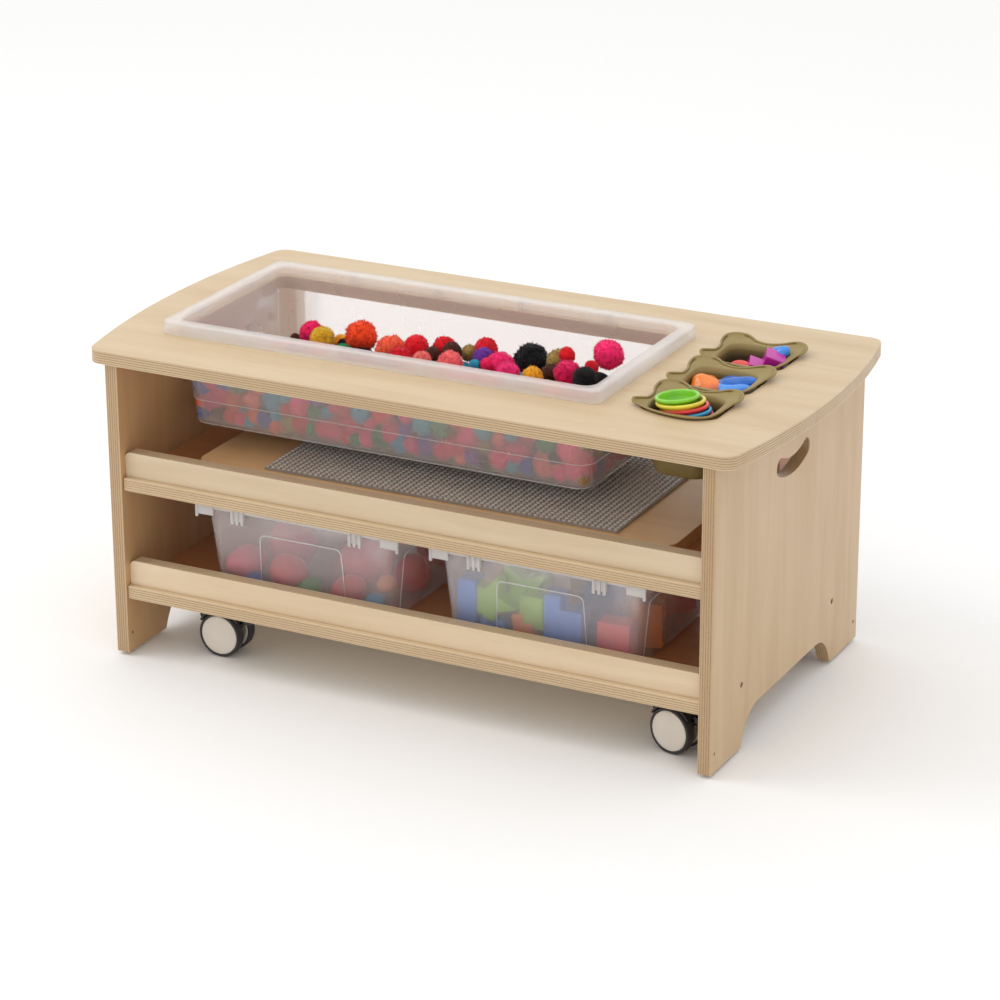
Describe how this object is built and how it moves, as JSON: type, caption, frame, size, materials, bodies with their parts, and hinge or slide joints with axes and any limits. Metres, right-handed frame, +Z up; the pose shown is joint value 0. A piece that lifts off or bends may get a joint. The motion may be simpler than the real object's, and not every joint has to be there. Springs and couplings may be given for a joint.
{
  "type": "sensory play table",
  "caption": "Low plywood play table on casters with a hanging clear tub, drop-in cups, a cover board with building plates and lidded storage bins.",
  "frame": {"origin": "on the floor under the middle of the table", "axes": "+X along the length, +Y towards the open back, +Z up"},
  "size_m": [0.966, 0.5, 0.449],
  "materials": {
    "birch": "clear satin lacquer on birch plywood",
    "frosted": "translucent moulded polypropylene",
    "olive": "soft matt moulded plastic",
    "plate": "moulded grey plastic",
    "lid": "milky white moulded plastic",
    "disc": "warm grey moulded plastic",
    "tyre": "dark grey rubber",
    "housing": "black nylon",
    "steel": "zinc plated"
  },
  "bodies": {
    "base": {"table_top": "birch", "side_panel_left": "birch", "side_panel_right": "birch", "middle_shelf": "birch", "bottom_shelf": "birch", "middle_lip": "birch", "bottom_lip": "birch", "shelf_screw_left_front": "steel", "top_bracket_left_front": "steel", "shelf_screw_left_rear": "steel", "top_bracket_left_rear": "steel", "shelf_screw_right_front": "steel", "top_bracket_right_front": "steel", "shelf_screw_right_rear": "steel", "top_bracket_right_rear": "steel", "caster_plate_front_left": "steel", "caster_plate_front_right": "steel", "caster_plate_rear_left": "steel", "caster_plate_rear_right": "steel"},
    "tub": {"tub": "frosted"},
    "cup_front": {"cup_front": "olive"},
    "cup_middle": {"cup_middle": "olive"},
    "cup_rear": {"cup_rear": "olive"},
    "cover": {"cover_board": "birch", "brick_plate_left": "plate", "brick_plate_right": "plate"},
    "bin_left": {"bin_left": "frosted", "bin_lid_left": "lid"},
    "bin_right": {"bin_right": "frosted", "bin_lid_right": "lid"},
    "caster_front_left": {"caster_housing_front_left": "housing"},
    "brake_front_left": {"brake_lever_front_left": "housing"},
    "wheels_front_left": {"axle_front_left": "steel", "tyre_front_left_a": "tyre", "tyre_front_left_b": "tyre", "hub_front_left_a": "disc", "hub_front_left_b": "disc"},
    "caster_front_right": {"caster_housing_front_right": "housing"},
    "brake_front_right": {"brake_lever_front_right": "housing"},
    "wheels_front_right": {"axle_front_right": "steel", "tyre_front_right_a": "tyre", "tyre_front_right_b": "tyre", "hub_front_right_a": "disc", "hub_front_right_b": "disc"},
    "caster_rear_left": {"caster_housing_rear_left": "housing"},
    "brake_rear_left": {"brake_lever_rear_left": "housing"},
    "wheels_rear_left": {"axle_rear_left": "steel", "tyre_rear_left_a": "tyre", "tyre_rear_left_b": "tyre", "hub_rear_left_a": "disc", "hub_rear_left_b": "disc"},
    "caster_rear_right": {"caster_housing_rear_right": "housing"},
    "brake_rear_right": {"brake_lever_rear_right": "housing"},
    "wheels_rear_right": {"axle_rear_right": "steel", "tyre_rear_right_a": "tyre", "tyre_rear_right_b": "tyre", "hub_rear_right_a": "disc", "hub_rear_right_b": "disc"}
  },
  "joints": [
    {"name": "tub_lift", "type": "slide", "parent": "base", "child": "tub", "axis": [0, 0, 1], "range_m": [0, 0.2]},
    {"name": "cup_front_lift", "type": "slide", "parent": "base", "child": "cup_front", "axis": [0, 0, 1], "range_m": [0, 0.12]},
    {"name": "cup_middle_lift", "type": "slide", "parent": "base", "child": "cup_middle", "axis": [0, 0, 1], "range_m": [0, 0.12]},
    {"name": "cup_rear_lift", "type": "slide", "parent": "base", "child": "cup_rear", "axis": [0, 0, 1], "range_m": [0, 0.12]},
    {"name": "cover_slide", "type": "slide", "parent": "base", "child": "cover", "axis": [0, 1, 0], "range_m": [0, 0.44]},
    {"name": "bin_left_slide", "type": "slide", "parent": "base", "child": "bin_left", "axis": [0, 1, 0], "range_m": [0, 0.47]},
    {"name": "bin_right_slide", "type": "slide", "parent": "base", "child": "bin_right", "axis": [0, 1, 0], "range_m": [0, 0.47]},
    {"name": "swivel_front_left", "type": "hinge", "parent": "base", "child": "caster_front_left", "pos_m": [-0.335, -0.17, 0.07], "axis": [0, 0, 1], "continuous": true},
    {"name": "roll_front_left", "type": "hinge", "parent": "caster_front_left", "child": "wheels_front_left", "pos_m": [-0.307, -0.17, 0.031], "axis": [0, 1, 0], "continuous": true},
    {"name": "brake_front_left", "type": "hinge", "parent": "caster_front_left", "child": "brake_front_left", "pos_m": [-0.282, -0.17, 0.052], "axis": [0, 1, 0], "range_deg": [0, 22]},
    {"name": "swivel_front_right", "type": "hinge", "parent": "base", "child": "caster_front_right", "pos_m": [0.335, -0.17, 0.07], "axis": [0, 0, 1], "continuous": true},
    {"name": "roll_front_right", "type": "hinge", "parent": "caster_front_right", "child": "wheels_front_right", "pos_m": [0.36217, -0.17677, 0.031], "axis": [0.2419, 0.9703, 0], "continuous": true},
    {"name": "brake_front_right", "type": "hinge", "parent": "caster_front_right", "child": "brake_front_right", "pos_m": [0.38643, -0.18282, 0.052], "axis": [0.2419, 0.9703, 0], "range_deg": [0, 22]},
    {"name": "swivel_rear_left", "type": "hinge", "parent": "base", "child": "caster_rear_left", "pos_m": [-0.335, 0.17, 0.07], "axis": [0, 0, 1], "continuous": true},
    {"name": "roll_rear_left", "type": "hinge", "parent": "caster_rear_left", "child": "wheels_rear_left", "pos_m": [-0.30721, 0.17341, 0.031], "axis": [-0.1219, 0.9925, 0], "continuous": true},
    {"name": "brake_rear_left", "type": "hinge", "parent": "caster_rear_left", "child": "brake_rear_left", "pos_m": [-0.2824, 0.17646, 0.052], "axis": [-0.1219, 0.9925, 0], "range_deg": [0, 22]},
    {"name": "swivel_rear_right", "type": "hinge", "parent": "base", "child": "caster_rear_right", "pos_m": [0.335, 0.17, 0.07], "axis": [0, 0, 1], "continuous": true},
    {"name": "roll_rear_right", "type": "hinge", "parent": "caster_rear_right", "child": "wheels_rear_right", "pos_m": [0.36266, 0.16562, 0.031], "axis": [0.1564, 0.9877, 0], "continuous": true},
    {"name": "brake_rear_right", "type": "hinge", "parent": "caster_rear_right", "child": "brake_rear_right", "pos_m": [0.38735, 0.16171, 0.052], "axis": [0.1564, 0.9877, 0], "range_deg": [0, 22]}
  ]
}
